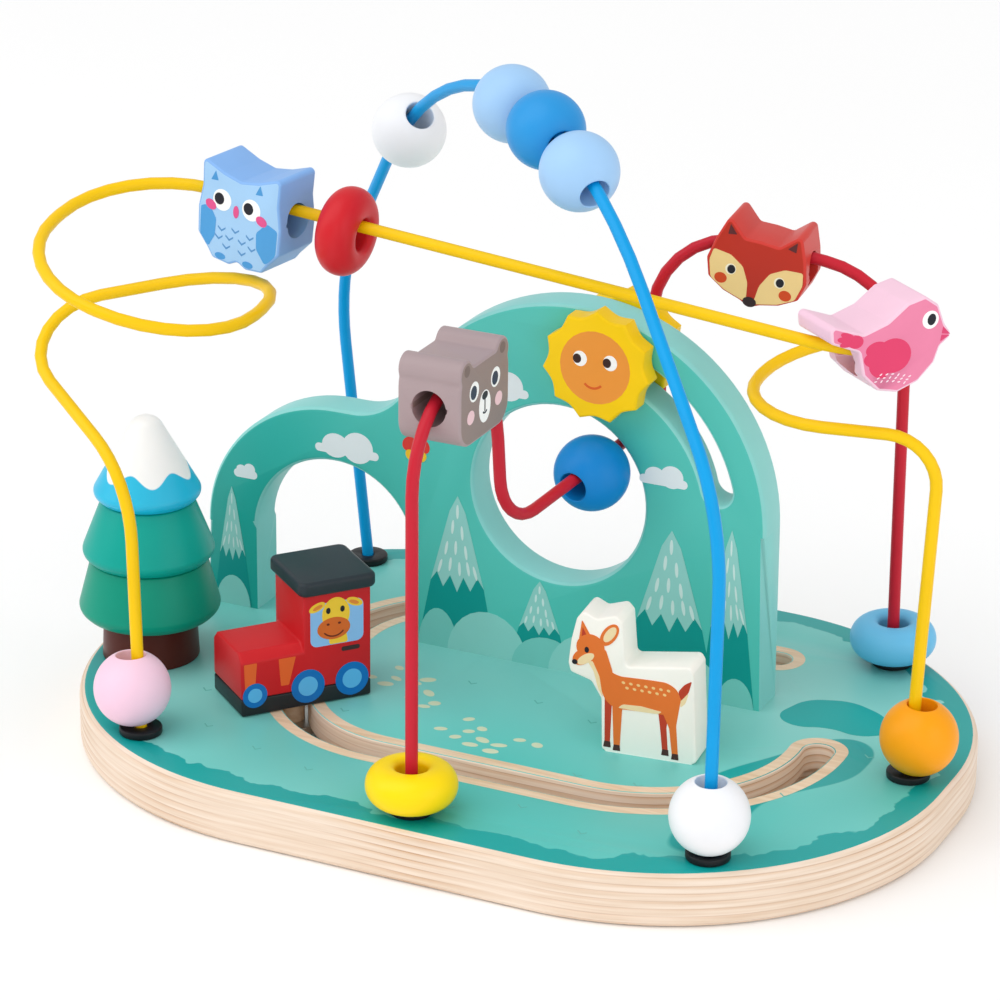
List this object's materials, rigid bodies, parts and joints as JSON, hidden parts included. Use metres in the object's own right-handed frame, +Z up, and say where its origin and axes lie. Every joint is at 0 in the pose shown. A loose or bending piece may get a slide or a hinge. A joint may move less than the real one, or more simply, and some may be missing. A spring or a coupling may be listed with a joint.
{
  "type": "bead maze",
  "caption": "Wooden bead maze toy: bent wires with beads and animal blocks over a board with an arched wall, a sliding sun, a tree, a deer and a train in a curved track.",
  "frame": {"origin": "centre of the board's underside", "axes": "+X along the board, -Y towards the player, +Z up"},
  "size_m": [0.306, 0.2125, 0.2293],
  "materials": {
    "birch": "satin clear lacquer, layered edges",
    "teal_print": "printed front, painted edges",
    "collar_black": "matt",
    "screw_steel": "bright zinc",
    "wire_blue": "glossy coating",
    "wire_red": "glossy coating",
    "wire_yellow": "glossy coating",
    "paint_pink": "satin paint",
    "paint_orange": "satin paint",
    "paint_white": "satin paint",
    "paint_sky": "satin paint",
    "paint_blue": "satin paint",
    "paint_royal": "satin paint",
    "paint_yellow": "satin paint",
    "paint_red": "satin paint",
    "paint_bear": "satin paint",
    "paint_fox": "satin paint",
    "paint_green": "satin paint",
    "paint_teal": "satin paint",
    "paint_tree_blue": "satin paint",
    "paint_brown": "satin paint",
    "paint_dark": "satin paint",
    "deer_print": "printed sides"
  },
  "bodies": {
    "board": {"base_board": "birch", "foot_collars": "collar_black", "arch_wall": "teal_print", "fixing_screws": "screw_steel", "blue_wire": "wire_blue", "red_wire": "wire_red", "yellow_wire": "wire_yellow", "tree_trunk": "paint_brown", "tree_lower_tier": "paint_green", "tree_middle_tier": "paint_teal", "tree_top": "paint_tree_blue", "tree_dowel": "birch", "deer_block": "deer_print"},
    "sun": {"sun_front": "paint_yellow", "sun_back": "paint_yellow", "sun_pin": "birch"},
    "runner": {"track_washer": "screw_steel", "train_peg": "birch", "peg_screw": "screw_steel"},
    "train": {"train_body": "paint_red", "train_roof": "paint_dark", "train_chassis": "paint_dark"},
    "pink_bead": {"bead_pink": "paint_pink"},
    "orange_bead": {"bead_orange": "paint_orange"},
    "front_white_bead": {"bead_white_front": "paint_white"},
    "rear_white_bead": {"bead_white_rear": "paint_white"},
    "front_sky_bead": {"bead_sky_front": "paint_sky"},
    "middle_blue_bead": {"bead_blue_mid": "paint_blue"},
    "rear_sky_bead": {"bead_sky_rear": "paint_sky"},
    "royal_bead": {"bead_royal": "paint_royal"},
    "yellow_disc": {"disc_yellow": "paint_yellow"},
    "sky_disc": {"disc_sky": "paint_sky"},
    "red_disc": {"disc_red": "paint_red"},
    "owl": {"owl_block": "paint_sky"},
    "bear": {"bear_block": "paint_bear"},
    "fox": {"fox_block": "paint_fox"},
    "bird": {"bird_block": "paint_pink"}
  },
  "joints": [
    {"name": "pink_bead_slide", "type": "slide", "parent": "board", "child": "pink_bead", "axis": [-0.0604, 0.0604, 0.9964], "range_m": [0, 0.036]},
    {"name": "orange_bead_slide", "type": "slide", "parent": "board", "child": "orange_bead", "axis": [0.0444, 0, 0.999], "range_m": [0, 0.07]},
    {"name": "front_white_bead_slide", "type": "slide", "parent": "board", "child": "front_white_bead", "axis": [0.0145, -0.0117, 0.9998], "range_m": [0, 0.057]},
    {"name": "yellow_disc_slide", "type": "slide", "parent": "board", "child": "yellow_disc", "axis": [0, 0, 1], "range_m": [0, 0.088]},
    {"name": "sky_disc_slide", "type": "slide", "parent": "board", "child": "sky_disc", "axis": [0, -0.0225, 0.9997], "range_m": [0, 0.092]},
    {"name": "owl_slide", "type": "slide", "parent": "board", "child": "owl", "axis": [0.996, 0, -0.0889], "range_m": [0, 0.007]},
    {"name": "red_disc_slide", "type": "slide", "parent": "board", "child": "red_disc", "axis": [0.996, 0, -0.0889], "range_m": [0, 0.118]},
    {"name": "bird_turn", "type": "hinge", "parent": "board", "child": "bird", "pos_m": [0.0981, 0.01465, 0.15813], "axis": [0.0877, 0.1605, 0.9831], "range_deg": [-25, 30]},
    {"name": "bear_turn", "type": "hinge", "parent": "board", "child": "bear", "pos_m": [0.0046, -0.06385, 0.1228], "axis": [1, 0, 0], "range_deg": [-25, 25]},
    {"name": "royal_bead_slide", "type": "slide", "parent": "board", "child": "royal_bead", "axis": [0.1538, 0.9801, 0.1255], "range_m": [-0.02, 0]},
    {"name": "fox_slide", "type": "slide", "parent": "board", "child": "fox", "axis": [0.9616, 0.21, -0.1768], "range_m": [-0.004, 0.012]},
    {"name": "middle_blue_bead_turn", "type": "hinge", "parent": "board", "child": "middle_blue_bead", "pos_m": [-0.0091, 0.00735, 0.09424], "axis": [-0.6285, -0.7778, 0], "range_deg": [-14, 12]},
    {"name": "front_sky_bead_turn", "type": "hinge", "parent": "board", "child": "front_sky_bead", "pos_m": [-0.0091, 0.00735, 0.09424], "axis": [-0.6285, -0.7778, 0], "range_deg": [-14, 12]},
    {"name": "rear_sky_bead_turn", "type": "hinge", "parent": "board", "child": "rear_sky_bead", "pos_m": [-0.0091, 0.00735, 0.09424], "axis": [-0.6285, -0.7778, 0], "range_deg": [-14, 12]},
    {"name": "rear_white_bead_turn", "type": "hinge", "parent": "board", "child": "rear_white_bead", "pos_m": [-0.0091, 0.00735, 0.09424], "axis": [-0.6285, -0.7778, 0], "range_deg": [-12, 5]},
    {"name": "sun_turn", "type": "hinge", "parent": "board", "child": "sun", "pos_m": [0.005, 0.031, 0.079], "axis": [0, 1, 0], "range_deg": [-9, 63]},
    {"name": "runner_turn", "type": "hinge", "parent": "board", "child": "runner", "pos_m": [-0.026, -0.007, 0.0072], "axis": [0, 0, 1], "range_deg": [-28, 61]},
    {"name": "train_turn", "type": "hinge", "parent": "runner", "child": "train", "pos_m": [-0.06994, -0.03086, 0.0183], "axis": [0, 0, 1], "continuous": true}
  ],
  "couplings": [
    {"joint": "front_sky_bead_turn", "follows": "middle_blue_bead_turn", "ratio": 1},
    {"joint": "rear_sky_bead_turn", "follows": "middle_blue_bead_turn", "ratio": 1}
  ]
}
